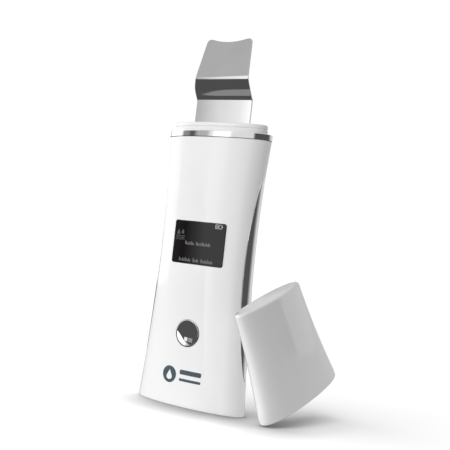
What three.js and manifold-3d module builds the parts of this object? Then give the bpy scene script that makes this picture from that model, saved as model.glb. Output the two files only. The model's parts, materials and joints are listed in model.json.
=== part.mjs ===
// Skin scrubber: a handset with an ultrasonic blade, and its protective cap lying beside it.
// Millimetres, +Z up. The origin is the centre of the handset's base, the display faces -Y.

import * as THREE from 'three';
import { mergeVertices } from 'three/addons/utils/BufferGeometryUtils.js';
import Module from 'manifold-3d';

const wasm = await Module();
wasm.setup();

// ---------------------------------------------------------------- driving dimensions

const BODY_HEIGHT = 122;          // housings, from the base to the chrome ring
const BASE_HALF_WIDTH = 28.3;
const WAIST_HALF_WIDTH = 24.6;
const TOP_HALF_WIDTH = 26.8;
const WAIST_HEIGHT = 76;
const FLARE_POWER = 1.9;
const HALF_DEPTH = 8.95;
const OVAL_POWER = 2.14;          // 2 would be an ellipse, higher is squarer
const WALL = 1.8;
const GAP = 0.3;                  // clearance between neighbouring pieces

const RING_HEIGHT = 2.6;
const COLLAR_TOP = 129.2;
const COLLAR_BOTTOM = 112;
const COLLAR_HALF_WIDTH = 24.4;
const COLLAR_HALF_DEPTH = 6.8;
const COLLAR_WALL = 1.5;

const BLADE_THICKNESS = 0.9;
const BLADE_TIP = 169;
const BLADE_BEND_START = 140.7;
const BLADE_BEND_END = 149.5;
const BLADE_BEND_LEAN = 11;       // degrees the cove still leans forwards where it ends
const STEM_Y = 0.6;
const BEND_Y = -3.85;
const TIP_Y = 0;
const TANG_END = 103.6;
const TANG_HALF_WIDTH = 4.2;

const DISPLAY_HALF_WIDTH = 13.55;
const DISPLAY_HALF_HEIGHT = 9.7;
const DISPLAY_CENTRE = 73.7;
const DISPLAY_FACE_Y = -8;
const PANEL_Y = [-6.7, -4.7];

const BUTTON_RADIUS = 6.1;
const BUTTON_CENTRE = 33;
const BUTTON_TRAVEL = 0.5;
const BUTTON_FACE_Y = -9;
const BUTTON_FLANGE_Y = -6.5;
const BUTTON_BACK_Y = -5.95;
const SWITCH_Y = [-5.1, -3.9];

const TRIM_CENTRE = 60.8;
const TRIM_HALF_LENGTH = 45.5;
const TRIM_HALF_WIDTH = 3.95;
const TRIM_POINT_POWER = 0.55;    // lower makes the leaf's tips blunter
const TRIM_DEPTH = 0.75;
const TRIM_PROUD = 0.12;

const BOARD_FRONT_Y = -3.6;
const BOARD_REAR_Y = -2.6;
const SCREW_POSTS = [[-18, 14], [18, 14], [-17.5, 106], [17.5, 106]];
const BOARD_POSTS = [[-11, 50], [11, 50]];
const PORT_HEIGHT = 9.2;

const CAP_HEIGHT = 48.1;
const CAP_TOP_HALF_WIDTH = 21.9;
const CAP_TOP_HALF_DEPTH = 7.1;
const CAP_WALL = 1.7;
const CAP_MOUTH = new THREE.Vector3(46.5, 16.1, 10.1);
const CAP_TILT = 25;              // degrees away from upright
const CAP_LEAN = 228;             // compass direction of the lean, degrees from +X towards +Y
const CAP_TURN = -101;            // turn about its own axis

const AROUND = 36;                // points on an oval section
const X = new THREE.Vector3(1, 0, 0);
const Y = new THREE.Vector3(0, 1, 0);
const Z = new THREE.Vector3(0, 0, 1);

// ---------------------------------------------------------------- finishes

const finish = (color, roughness, metalness = 0) => ({ color, roughness, metalness });
const WHITE_PLASTIC = finish(0xf4f4f4, 0.25);
const CHROME = finish(0xd8dadd, 0.08, 1);
const STEEL = finish(0xbfc2c5, 0.18, 1);
const RUBBER = finish(0xe6e6e4, 0.7);
const BLACK_GLASS = finish(0x141214, 0.08);
const BLACK_PLASTIC = finish(0x202124, 0.5);
const BOARD_GREEN = finish(0x1f5c3a, 0.5);
const CERAMIC = finish(0xe9e4d6, 0.6);
const ALUMINIUM = finish(0xc9ccd0, 0.35, 1);
const COPPER = finish(0xc98a4b, 0.35, 1);
const FOAM = finish(0x55575a, 0.95);
const FOIL = finish(0xaeb4bd, 0.4, 0.6);
const RED = finish(0xb8322a, 0.5);
const BLACK = finish(0x1b1b1d, 0.5);

// ---------------------------------------------------------------- shape tools

// Closed triangle mesh to manifold solid and back.
function solidOf(geometry) {
  const bare = geometry.clone();
  bare.deleteAttribute('normal');
  bare.deleteAttribute('uv');
  const merged = mergeVertices(bare, 1e-4);
  return new wasm.Manifold(new wasm.Mesh({
    numProp: 3,
    vertProperties: new Float32Array(merged.attributes.position.array),
    triVerts: new Uint32Array(merged.index.array),
  }));
}

function piece(name, solid, look) {
  const { vertProperties, triVerts } = solid.getMesh();
  const geometry = new THREE.BufferGeometry();
  geometry.setAttribute('position', new THREE.BufferAttribute(vertProperties, 3));
  geometry.setIndex(new THREE.BufferAttribute(triVerts, 1));
  geometry.computeVertexNormals();
  const mesh = new THREE.Mesh(geometry, new THREE.MeshStandardMaterial(look));
  mesh.name = name;
  return mesh;
}

const joined = (first, ...others) => others.reduce((sum, other) => sum.add(other), first);
const cut = (first, ...others) => others.reduce((rest, other) => rest.subtract(other), first);

// Points of a rounded oval (a superellipse), counter-clockwise from +X.
function oval(halfWidth, halfDepth, count = AROUND) {
  const bulge = (value) => Math.sign(value) * Math.abs(value) ** (2 / OVAL_POWER);
  return Array.from({ length: count }, (_, i) => {
    const angle = (2 * Math.PI * i) / count;
    return new THREE.Vector2(halfWidth * bulge(Math.cos(angle)), halfDepth * bulge(Math.sin(angle)));
  });
}

// Solid through a stack of ovals, each { z, width, depth } with half sizes.
function stack(levels, count = AROUND) {
  const positions = [];
  const index = [];
  for (const { z, width, depth } of levels) {
    for (const point of oval(width, depth, count)) positions.push(point.x, point.y, z);
  }
  const last = levels.length - 1;
  positions.push(0, 0, levels[0].z, 0, 0, levels[last].z);
  const bottomCentre = levels.length * count;
  for (let j = 0; j < count; j += 1) {
    const next = (j + 1) % count;
    for (let i = 0; i < last; i += 1) {
      const low = i * count;
      const high = low + count;
      index.push(low + j, low + next, high + next, low + j, high + next, high + j);
    }
    index.push(bottomCentre, next, j);
    index.push(bottomCentre + 1, last * count + j, last * count + next);
  }
  const geometry = new THREE.BufferGeometry();
  geometry.setAttribute('position', new THREE.Float32BufferAttribute(positions, 3));
  geometry.setIndex(index);
  return solidOf(geometry);
}

const shapeOf = (points) => new THREE.Shape(points.map(([x, y]) => new THREE.Vector2(x, y)));

function roundedRectangle(halfWidth, halfHeight, radius, centreX = 0, centreY = 0) {
  const shape = new THREE.Shape();
  const corners = [[1, -1, -90], [1, 1, 0], [-1, 1, 90], [-1, -1, 180]];
  for (const [sideX, sideY, start] of corners) {
    const x = centreX + sideX * (halfWidth - radius);
    const y = centreY + sideY * (halfHeight - radius);
    const from = THREE.MathUtils.degToRad(start);
    shape.absarc(x, y, radius, from, from + Math.PI / 2, false);
  }
  return shape;
}

// Prisms: the outline lies across the named axis and runs from one coordinate to the other.
function prism(shape, from, to, basis, curveSegments = 4) {
  const options = { depth: to - from, bevelEnabled: false, curveSegments };
  const geometry = new THREE.ExtrudeGeometry(shape, options);
  geometry.translate(0, 0, from);
  return solidOf(geometry.applyMatrix4(new THREE.Matrix4().makeBasis(...basis)));
}

const FRONT = Y.clone().negate();
const prismX = (shape, from, to, segments) => prism(shape, from, to, [Y, Z, X], segments);
const prismY = (shape, from, to, segments) => prism(shape, -to, -from, [X, Z, FRONT], segments);
const prismZ = (shape, from, to, segments) => prism(shape, from, to, [X, Y, Z], segments);

function block(x0, x1, y0, y1, z0, z1) {
  const geometry = new THREE.BoxGeometry(x1 - x0, y1 - y0, z1 - z0);
  return solidOf(geometry.translate((x0 + x1) / 2, (y0 + y1) / 2, (z0 + z1) / 2));
}

// Solid of revolution from [radius, height] points, turned so that its axis is the given one.
function turned(profile, axis = Z, segments = 20) {
  const points = profile.map(([radius, height]) => new THREE.Vector2(radius, height));
  const geometry = new THREE.LatheGeometry(points, segments);
  const turn = new THREE.Quaternion().setFromUnitVectors(Y, axis);
  return solidOf(geometry.applyQuaternion(turn));
}

function rod(radius, from, to, axis = Z, segments = 20) {
  return turned([[0, from], [radius, from], [radius, to], [0, to]], axis, segments);
}

// Round wire through a list of points.
function wire(name, radius, points, look) {
  const path = new THREE.CatmullRomCurve3(points.map((point) => new THREE.Vector3(...point)));
  const section = new THREE.Shape().absarc(0, 0, radius, 0, 2 * Math.PI, false);
  const options = { extrudePath: path, steps: 6, curveSegments: 3, bevelEnabled: false };
  return piece(name, solidOf(new THREE.ExtrudeGeometry(section, options)), look);
}

// ---------------------------------------------------------------- handset body

// The outline narrows to a waist and flares towards both ends. Its depth is even.
function bodyWidth(z) {
  const below = z < WAIST_HEIGHT;
  const reach = below ? WAIST_HEIGHT : BODY_HEIGHT - WAIST_HEIGHT;
  const end = below ? BASE_HALF_WIDTH : TOP_HALF_WIDTH;
  return WAIST_HALF_WIDTH + (end - WAIST_HALF_WIDTH) * Math.abs((z - WAIST_HEIGHT) / reach) ** FLARE_POWER;
}

// The body's outline moved inwards by `inset`, between two heights.
function bodySolid(inset, from = 0, to = BODY_HEIGHT, steps = 7) {
  const levels = Array.from({ length: steps + 1 }, (_, i) => {
    const z = from + ((to - from) * i) / steps;
    return { z, width: bodyWidth(z) - inset, depth: HALF_DEPTH - inset };
  });
  return stack(levels);
}

// Leaf outline of a side trim in the YZ plane, widened by `extra`.
function leaf(extra) {
  const count = 12;
  const half = TRIM_HALF_LENGTH + extra;
  const front = [];
  const rear = [];
  for (let i = 0; i <= count; i += 1) {
    const along = -Math.cos((Math.PI * i) / count);
    const width = TRIM_HALF_WIDTH * (1 - along * along) ** TRIM_POINT_POWER + extra;
    front.push([-width, TRIM_CENTRE + half * along]);
    rear.unshift([width, TRIM_CENTRE + half * along]);
  }
  return shapeOf([...front, ...rear].reverse());
}

const TRIM_PEG = { radius: 1.2, inner: 21.3, segments: 16 };
const TRIM_ROOT = 15;             // the leaf is cut from the body no deeper than this
const FAR = 40;                   // beyond the body on every side

function leafReach(side, extra) {
  const ends = [side * TRIM_ROOT, side * FAR];
  return prismX(leaf(extra), Math.min(...ends), Math.max(...ends));
}

function trimPocket(side) {
  const ends = [0, side * FAR];
  const half = block(Math.min(...ends), Math.max(...ends), -FAR, FAR, 0, BODY_HEIGHT);
  const pegHole = rod(TRIM_PEG.radius + GAP, -FAR, FAR, X, TRIM_PEG.segments)
    .translate(0, 0, TRIM_CENTRE)
    .intersect(half);
  const bed = bodySolid(TRIM_DEPTH + GAP, -1, BODY_HEIGHT + 1);
  return joined(cut(leafReach(side, GAP), bed), pegHole);
}

function sideTrim(name, side) {
  const outside = bodySolid(-TRIM_PROUD, -1, BODY_HEIGHT + 1);
  const skin = cut(outside, bodySolid(TRIM_DEPTH, -2, BODY_HEIGHT + 2));
  const pegEnds = [side * TRIM_PEG.inner, side * (bodyWidth(TRIM_CENTRE) - TRIM_DEPTH / 2)];
  const peg = rod(TRIM_PEG.radius, Math.min(...pegEnds), Math.max(...pegEnds), X, TRIM_PEG.segments)
    .translate(0, 0, TRIM_CENTRE);
  return piece(name, joined(skin.intersect(leafReach(side, 0)), peg), CHROME);
}

// Both housings start as one shell that is open at the base and under the collar.
const shell = cut(
  bodySolid(0),
  bodySolid(WALL, -1, BODY_HEIGHT + 1),
  trimPocket(1),
  trimPocket(-1),
);
const frontHalf = block(-FAR, FAR, -FAR, -GAP / 2, -1, BODY_HEIGHT + 1);
const rearHalf = block(-FAR, FAR, GAP / 2, FAR, -1, BODY_HEIGHT + 1);
const BASE_RIM = 5;

// A lip on the front housing reaches past the seam, so the halves find each other.
function seamLip() {
  const from = BASE_RIM + 2;
  const to = COLLAR_BOTTOM - 2;
  const steps = 5;
  const lip = { thickness: 0.8, rootStart: -1.6, reach: 1.2 };
  const bore = bodySolid(WALL + GAP + lip.thickness, from - 1, to + 1, steps);
  const rootPlace = block(-FAR, FAR, lip.rootStart, -GAP / 2, from, to);
  const tonguePlace = block(-FAR, FAR, lip.rootStart, lip.reach, from, to);
  const root = cut(bodySolid(WALL - GAP, from, to, steps), bore).intersect(rootPlace);
  const tongue = cut(bodySolid(WALL + GAP, from, to, steps), bore).intersect(tonguePlace);
  return cut(joined(root, tongue), trimPocket(1), trimPocket(-1));
}

function frontHousing() {
  const inside = bodySolid(WALL / 2, 1, BODY_HEIGHT - 1);
  const posts = SCREW_POSTS.map(([x, z]) => rod(2.4, -8, 1.6, Y, 14).translate(x, 0, z).intersect(inside));
  const screwHoles = SCREW_POSTS.map(([x, z]) => rod(1.2, -3, 3, Y, 12).translate(x, 0, z));
  const postEnd = BOARD_FRONT_Y - GAP;
  const boardPosts = BOARD_POSTS.map(([x, z]) => (
    rod(2, -8.5, postEnd, Y, 16).translate(x, 0, z).intersect(inside)
  ));
  const boardHoles = BOARD_POSTS.map(([x, z]) => rod(1, -6, 0, Y, 12).translate(x, 0, z));
  const halfOpening = [DISPLAY_HALF_WIDTH + GAP, DISPLAY_HALF_HEIGHT + GAP];
  const window = roundedRectangle(...halfOpening, 1.2, 0, DISPLAY_CENTRE);
  return piece('front_housing', cut(
    joined(shell.intersect(frontHalf), seamLip(), ...posts, ...boardPosts),
    ...screwHoles,
    ...boardHoles,
    prismY(window, -20, PANEL_Y[1] + GAP),
    rod(BUTTON_RADIUS + 0.35, -20, -5, Y, 36).translate(0, 0, BUTTON_CENTRE),
  ), WHITE_PLASTIC);
}

function rearHousing() {
  const inside = bodySolid(WALL / 2, 1, BODY_HEIGHT - 1);
  const posts = SCREW_POSTS.map(([x, z]) => rod(3.1, 1.9, 12, Y, 14).translate(x, 0, z).intersect(inside));
  const holes = SCREW_POSTS.map(([x, z]) => rod(1.2, 0, 12, Y, 12).translate(x, 0, z));
  const recesses = SCREW_POSTS.map(([x, z]) => rod(2.2, 3.6, 12, Y, 14).translate(x, 0, z));
  const port = roundedRectangle(4.9, 2, 1.9, 0, PORT_HEIGHT);
  return piece('rear_housing', cut(
    joined(shell.intersect(rearHalf), ...posts),
    ...holes,
    ...recesses,
    prismY(port, 5, 20, 6),
  ), WHITE_PLASTIC);
}

function baseCover() {
  const inset = WALL + GAP;
  const plate = bodySolid(inset, 0, 1.8, 1);
  const rim = cut(bodySolid(inset, 1, BASE_RIM, 1), bodySolid(inset + 1.2, 0.5, BASE_RIM + 1, 1));
  return piece('base_cover', joined(plate, rim), WHITE_PLASTIC);
}

// ---------------------------------------------------------------- ring, collar and blade

function chromeRing() {
  const from = BODY_HEIGHT + GAP;
  const to = from + RING_HEIGHT;
  const chamfer = 0.25;
  const width = TOP_HALF_WIDTH + 0.1;
  const depth = HALF_DEPTH + 0.1;
  const outer = stack([
    { z: from, width: width - chamfer, depth: depth - chamfer },
    { z: from + chamfer, width, depth },
    { z: to - chamfer, width, depth },
    { z: to, width: width - chamfer, depth: depth - chamfer },
  ]);
  const bore = { width: COLLAR_HALF_WIDTH + GAP, depth: COLLAR_HALF_DEPTH + GAP };
  const opening = stack([{ z: from - 1, ...bore }, { z: to + 1, ...bore }]);
  return piece('chrome_ring', cut(outer, opening), CHROME);
}

const SEAL = { halfWidth: 16.6, halfDepth: 2.2, bottom: 126.6 };

function collar() {
  const width = COLLAR_HALF_WIDTH;
  const depth = COLLAR_HALF_DEPTH;
  const groove = 0.35;
  const neck = width - bodyWidth(COLLAR_BOTTOM) + WALL + GAP;
  const outline = [
    [COLLAR_BOTTOM, neck], [BODY_HEIGHT, 0], [126.9, 0], [127, groove], [127.25, groove], [127.35, 0.1],
    [COLLAR_TOP - 0.5, 0.15], [COLLAR_TOP - 0.15, 0.35], [COLLAR_TOP, 0.7],
  ];
  const body = stack(outline.map(([z, inset]) => ({ z, width: width - inset, depth: depth - inset })));
  const room = { width: width - neck - COLLAR_WALL, depth: depth - COLLAR_WALL };
  const hollow = stack([{ z: COLLAR_BOTTOM - 1, ...room }, { z: SEAL.bottom - 1, ...room }]);
  const slot = roundedRectangle(SEAL.halfWidth + GAP, SEAL.halfDepth + GAP, 1.5, 0, 0);
  return piece('collar', cut(body, hollow, prismZ(slot, SEAL.bottom - 3, COLLAR_TOP + 1)), WHITE_PLASTIC);
}

function bladeSeal() {
  const plug = prismZ(roundedRectangle(SEAL.halfWidth, SEAL.halfDepth, 1.3), SEAL.bottom, COLLAR_TOP - 0.2);
  const slit = block(-15.6, 15.6, STEM_Y - 0.8, STEM_Y + 0.8, SEAL.bottom - 1, COLLAR_TOP + 1);
  return piece('blade_seal', cut(plug, slit), RUBBER);
}

// Side view of the blade: straight stem, a cove that carries it forwards, then a face that leans back.
function bladeProfile() {
  const rise = BLADE_BEND_END - BLADE_BEND_START;
  const shift = STEM_Y - BEND_Y;
  const end = THREE.MathUtils.degToRad(BLADE_BEND_LEAN);
  const start = 2 * Math.atan(shift / rise) - end;
  const radius = rise / (Math.sin(start) - Math.sin(end));
  const path = [[STEM_Y, TANG_END]];
  const arcSteps = 8;
  for (let i = 0; i <= arcSteps; i += 1) {
    const angle = THREE.MathUtils.lerp(start, end, i / arcSteps);
    path.push([
      BEND_Y + radius * (Math.cos(end) - Math.cos(angle)),
      BLADE_BEND_END - radius * (Math.sin(angle) - Math.sin(end)),
    ]);
  }
  path.push([TIP_Y, BLADE_TIP + 1]);
  const half = BLADE_THICKNESS / 2;
  const offsetPoint = (point, i, side) => {
    const before = path[Math.max(i - 1, 0)];
    const after = path[Math.min(i + 1, path.length - 1)];
    const along = new THREE.Vector2(after[0] - before[0], after[1] - before[1]).normalize();
    return [point[0] + side * half * along.y, point[1] - side * half * along.x];
  };
  const rear = path.map((point, i) => offsetPoint(point, i, 1));
  const front = path.map((point, i) => offsetPoint(point, i, -1)).reverse();
  return shapeOf([...rear, ...front]);
}

// Front view of the blade: tang, shoulder, tapering face and a hollow tip between two horns.
function bladeOutline() {
  const shape = new THREE.Shape();
  const side = [
    [TANG_HALF_WIDTH, TANG_END - 1],
    [TANG_HALF_WIDTH, 116],
    [14.9, 119],
    [14.9, BLADE_BEND_START],
    [14.85, BLADE_BEND_START + 4.5],
    [14.15, BLADE_BEND_END + 0.5],
  ];
  const horn = [
    [12.2, BLADE_TIP - 1.8],
    [11.9, BLADE_TIP - 0.2],
    [10.2, BLADE_TIP],
    [8.6, BLADE_TIP - 0.3],
  ];
  const mirrored = ([x, z]) => [-x, z];
  shape.moveTo(...side[0]);
  for (const point of side.slice(1)) shape.lineTo(...point);
  shape.lineTo(...horn[0]);
  shape.bezierCurveTo(...horn[1], ...horn[2], ...horn[3]);
  shape.quadraticCurveTo(0, BLADE_TIP - 3.1, ...mirrored(horn[3]));
  shape.bezierCurveTo(...mirrored(horn[2]), ...mirrored(horn[1]), ...mirrored(horn[0]));
  for (const point of side.reverse()) shape.lineTo(...mirrored(point));
  return shape;
}

function blade() {
  const sheet = prismX(bladeProfile(), -20, 20);
  return piece('blade', sheet.intersect(prismY(bladeOutline(), -12, 12, 8)), STEEL);
}

// ---------------------------------------------------------------- ultrasonic transducer

const STACK_RADIUS = 5;
const BOLT_HOLE = 1.9;

function tube(outerRadius, innerRadius, from, to) {
  const inner = [[innerRadius, to], [innerRadius, from]];
  return turned([[innerRadius, from], [outerRadius, from], [outerRadius, to], ...inner]);
}

function transducer() {
  const horn = turned([
    [0, 102.2], [BOLT_HOLE, 102.2], [BOLT_HOLE, 98], [5.2, 98],
    [5.2, 107], [4.4, 109], [4.4, 111.3], [0, 111.3],
  ]);
  const tangSlot = block(-4.5, 4.5, STEM_Y - 0.8, STEM_Y + 0.8, 103.2, 112);
  const electrodeTab = block(4.4, 7, -1, 1, 94.6, 94.9);
  const bolt = turned([[0, 81.2], [2.7, 81.2], [2.7, 83.5], [1.5, 83.5], [1.5, 101.9], [0, 101.9]]);
  const holderBlock = prismZ(roundedRectangle(9.5, 6.1, 2), 99.5, 106);
  return [
    piece('transducer_horn', cut(horn, tangSlot), ALUMINIUM),
    piece('piezo_ring_front', tube(STACK_RADIUS, BOLT_HOLE, 95.2, 97.7), CERAMIC),
    piece('electrode_plate', joined(tube(STACK_RADIUS, BOLT_HOLE, 94.6, 94.9), electrodeTab), COPPER),
    piece('piezo_ring_rear', tube(STACK_RADIUS, BOLT_HOLE, 91.8, 94.3), CERAMIC),
    piece('back_mass', tube(5.2, BOLT_HOLE, 83.8, 91.5), STEEL),
    piece('stack_bolt', bolt, STEEL),
    piece('transducer_holder', cut(holderBlock, rod(5.5, 98, 108)), RUBBER),
  ];
}

// ---------------------------------------------------------------- display, button and boards

function display() {
  const window = roundedRectangle(DISPLAY_HALF_WIDTH, DISPLAY_HALF_HEIGHT, 1, 0, DISPLAY_CENTRE);
  const panelBottom = DISPLAY_CENTRE - DISPLAY_HALF_HEIGHT + 0.4;
  const panelTop = DISPLAY_CENTRE + DISPLAY_HALF_HEIGHT - 0.4;
  const panelBack = PANEL_Y[1] - 0.5;
  const onBoard = BOARD_FRONT_Y - 0.25;
  const thickness = 0.25;
  const ribbon = [
    [panelBack, panelBottom - GAP], [panelBack, 60.6], [onBoard, 59.9], [onBoard, 56],
    [onBoard - thickness, 56], [onBoard - thickness, 59.6], [panelBack - thickness, 60.3],
    [panelBack - thickness, panelBottom - GAP],
  ];
  return [
    piece('display_window', prismY(window, DISPLAY_FACE_Y, DISPLAY_FACE_Y + 1), BLACK_GLASS),
    piece('display_panel', block(-13.1, 13.1, ...PANEL_Y, panelBottom, panelTop), BLACK_PLASTIC),
    piece('display_flex', prismX(shapeOf(ribbon.reverse()), -5, 5), COPPER),
  ];
}

function modeButton() {
  const face = BUTTON_FACE_Y;
  const profile = [
    [0, face + 0.25], [2.5, face + 0.2], [4.6, face + 0.06], [5.6, face], [BUTTON_RADIUS, face + 0.3],
    [BUTTON_RADIUS, BUTTON_FLANGE_Y], [7.3, BUTTON_FLANGE_Y], [7.3, BUTTON_BACK_Y], [0, BUTTON_BACK_Y],
  ];
  return piece('mode_button', turned(profile, Y, 36).translate(0, 0, BUTTON_CENTRE), CHROME);
}

function buttonWorks() {
  const lip = BUTTON_BACK_Y + BUTTON_TRAVEL + GAP;
  const front = BUTTON_FLANGE_Y + 0.15;
  const rear = BOARD_FRONT_Y - 0.9;
  const guide = turned([
    [7.7, front], [8.9, front], [8.9, rear], [5.2, rear], [5.2, lip], [7.7, lip], [7.7, front],
  ], Y, 28).translate(0, 0, BUTTON_CENTRE);
  const body = block(-3, 3, ...SWITCH_Y, BUTTON_CENTRE - 3, BUTTON_CENTRE + 3);
  const boreEnd = SWITCH_Y[1] - 0.2;
  const plungerBore = rod(1.8, -6, boreEnd, Y, 16).translate(0, 0, BUTTON_CENTRE);
  const plunger = rod(1.5, BUTTON_BACK_Y + GAP, boreEnd - BUTTON_TRAVEL - 0.25, Y, 16);
  return [
    piece('button_guide', guide, BLACK_PLASTIC),
    piece('tact_switch', cut(body, plungerBore), BLACK_PLASTIC),
    piece('switch_plunger', plunger.translate(0, 0, BUTTON_CENTRE), BLACK),
  ];
}

function electronics() {
  const outline = roundedRectangle(15, 28.5, 1.5, 0, 50.5);
  const screwHoles = BOARD_POSTS.map(([x, z]) => rod(1.2, -6, 0, Y, 12).translate(x, 0, z));
  const mounted = BOARD_REAR_Y + GAP;
  const transformer = joined(
    block(1.5, 11.5, mounted, mounted + 1.4, 23.5, 32.5),
    rod(3.4, mounted + 1, mounted + 5.2, Y, 20).translate(6.5, 0, 28),
    rod(4.4, mounted + 5.1, mounted + 6.4, Y, 20).translate(6.5, 0, 28),
  );
  return [
    piece('main_board', cut(prismY(outline, BOARD_FRONT_Y, BOARD_REAR_Y), ...screwHoles), BOARD_GREEN),
    piece('control_chip', block(-5, 5, mounted, mounted + 1, 60, 70), BLACK_PLASTIC),
    piece('drive_transformer', transformer, COPPER),
    piece('buzzer', rod(4.4, mounted, mounted + 3.4, Y, 24).translate(-8, 0, 28), BLACK_PLASTIC),
  ];
}

function battery() {
  const pouch = roundedRectangle(16, 21, 1.6, 0, 56.5);
  return [
    piece('battery', prismY(pouch, -0.4, 4.4), FOIL),
    piece('battery_foam', prismY(roundedRectangle(11, 16, 1.5, 0, 56.5), 4.7, 5.9), FOAM),
  ];
}

// Charging inlet behind the base, on a board of its own that lies flat.
function chargePort() {
  const board = prismZ(roundedRectangle(8, 3.4, 1, 0, 3), PORT_HEIGHT - 2.8, PORT_HEIGHT - 1.9);
  const can = prismY(roundedRectangle(4.5, 1.6, 1.5, 0, PORT_HEIGHT), 2, 8.6, 6);
  const mouth = prismY(roundedRectangle(4.1, 1.2, 1.1, 0, PORT_HEIGHT), 3.2, 10, 6);
  const tongue = block(-3.3, 3.3, 2.6, 8, PORT_HEIGHT - 0.35, PORT_HEIGHT + 0.35);
  return [
    piece('charge_board', board, BOARD_GREEN),
    piece('charge_socket', joined(cut(can, mouth), tongue), STEEL),
  ];
}

function wires() {
  const boardBack = BOARD_REAR_Y + 0.8;
  const routes = [
    ['battery_wire_pos', 13.2, [[2, 34.7], [1.4, 32], [boardBack, 29]], RED],
    ['battery_wire_neg', 14.9, [[2, 34.7], [1.4, 32], [boardBack, 29]], BLACK],
    ['charge_wire_pos', -6.2, [[1, 7.9], [0.4, 13], [-1, 18], [boardBack, 22.6]], RED],
    ['charge_wire_neg', 6.2, [[1, 7.9], [0.4, 13], [-1, 18], [boardBack, 22.6]], BLACK],
    ['transducer_wire_live', 7.9, [[0, 94.2], [-0.8, 86], [boardBack, 78], [boardBack, 73]], RED],
    ['transducer_wire_ground', -7.9, [[0, 89], [-0.8, 85], [boardBack, 78], [boardBack, 73]], BLACK],
  ];
  return routes.map(([name, x, route, look]) => wire(name, 0.45, route.map(([y, z]) => [x, y, z]), look));
}

// Sprung strips carry the galvanic current from the board to the pegs of the side trims.
function contactStrip(name, side) {
  const thickness = 0.3;
  const path = [[12.5, -2.3], [16.6, -2.3], [20.2, -0.9], [20.8, 0.9]];
  const outer = path.map(([x, y]) => [side * x, y]);
  const inner = path.map(([x, y]) => [side * (x - 0.15), y + thickness]).reverse();
  const outline = side > 0 ? [...outer, ...inner] : [...outer, ...inner].reverse();
  return piece(name, prismZ(shapeOf(outline), TRIM_CENTRE - 2, TRIM_CENTRE + 2), COPPER);
}

// ---------------------------------------------------------------- screws

function screws() {
  const long = [[0, -2.2], [0.9, -2.2], [0.9, 3.9], [1.9, 3.9], [1.9, 5.1], [0, 5.1]];
  const short = [[0, -5.8], [0.7, -5.8], [0.7, -2.3], [1.7, -2.3], [1.7, -1.3], [0, -1.3]];
  const driveSlot = (size, from, to) => joined(
    block(-size, size, from, to, -0.3, 0.3),
    block(-0.3, 0.3, from, to, -size, size),
  );
  const housing = SCREW_POSTS.map(([x, z], i) => {
    const screw = piece(`housing_screw_${i + 1}`, cut(turned(long, Y, 12), driveSlot(1.2, 4.5, 6)), STEEL);
    screw.position.set(x, 0, z);
    return screw;
  });
  const onBoard = BOARD_POSTS.map(([x, z], i) => {
    const screw = piece(`board_screw_${i + 1}`, cut(turned(short, Y, 12), driveSlot(1.1, -1.8, -1)), STEEL);
    screw.position.set(x, 0, z);
    return screw;
  });
  return [...housing, ...onBoard];
}

// ---------------------------------------------------------------- protective cap

// Drawn upright with its mouth at z = 0, then laid in its leaning place by the group.
function capLevels(inset, from, to, steps) {
  const straight = 6;
  return Array.from({ length: steps + 1 }, (_, i) => {
    const z = from + ((to - from) * i) / steps;
    const rise = THREE.MathUtils.clamp((z - straight / 2) / (CAP_HEIGHT - straight / 2), 0, 1);
    const width = THREE.MathUtils.lerp(TOP_HALF_WIDTH, CAP_TOP_HALF_WIDTH, 1 - (1 - rise) ** 2);
    const depth = THREE.MathUtils.lerp(HALF_DEPTH, CAP_TOP_HALF_DEPTH, rise ** 1.5);
    return { z, width: width - inset, depth: depth - inset };
  });
}

function cap() {
  const round = 1.3;
  const crown = [[0.35, 0.15], [0.75, 0.55], [1, round]].map(([up, inset]) => ({
    z: CAP_HEIGHT - round + round * up,
    width: CAP_TOP_HALF_WIDTH - inset,
    depth: CAP_TOP_HALF_DEPTH - inset,
  }));
  const outer = stack([...capLevels(0, 0, CAP_HEIGHT - round, 6), ...crown]);
  const inner = stack(capLevels(CAP_WALL, -1, CAP_HEIGHT - CAP_WALL, 6));
  const group = new THREE.Group();
  group.add(piece('cap_shell', cut(outer, inner), WHITE_PLASTIC));
  const lean = THREE.MathUtils.degToRad(CAP_LEAN);
  const hinge = new THREE.Vector3(-Math.sin(lean), Math.cos(lean), 0);
  const tilt = new THREE.Quaternion().setFromAxisAngle(hinge, THREE.MathUtils.degToRad(CAP_TILT));
  const turn = new THREE.Quaternion().setFromAxisAngle(Z, THREE.MathUtils.degToRad(CAP_TURN));
  group.quaternion.multiplyQuaternions(tilt, turn);
  group.position.copy(CAP_MOUTH);
  return group;
}

// ---------------------------------------------------------------- assembly

const handset = new THREE.Group();
handset.add(
  frontHousing(),
  rearHousing(),
  baseCover(),
  sideTrim('side_trim_right', 1),
  sideTrim('side_trim_left', -1),
  chromeRing(),
  collar(),
  bladeSeal(),
  blade(),
  ...transducer(),
  ...display(),
  modeButton(),
  ...buttonWorks(),
  ...electronics(),
  ...battery(),
  ...chargePort(),
  ...wires(),
  contactStrip('contact_strip_right', 1),
  contactStrip('contact_strip_left', -1),
  ...screws(),
);

const skinScrubber = new THREE.Group();
skinScrubber.add(handset, cap());

export default skinScrubber;
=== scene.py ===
"""Skin scrubber: smooth pieces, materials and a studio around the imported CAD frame."""
import json
import math

import bmesh
import bpy
import numpy as np
from mathutils import Matrix, Quaternion, Vector
from mathutils.geometry import delaunay_2d_cdt


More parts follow.
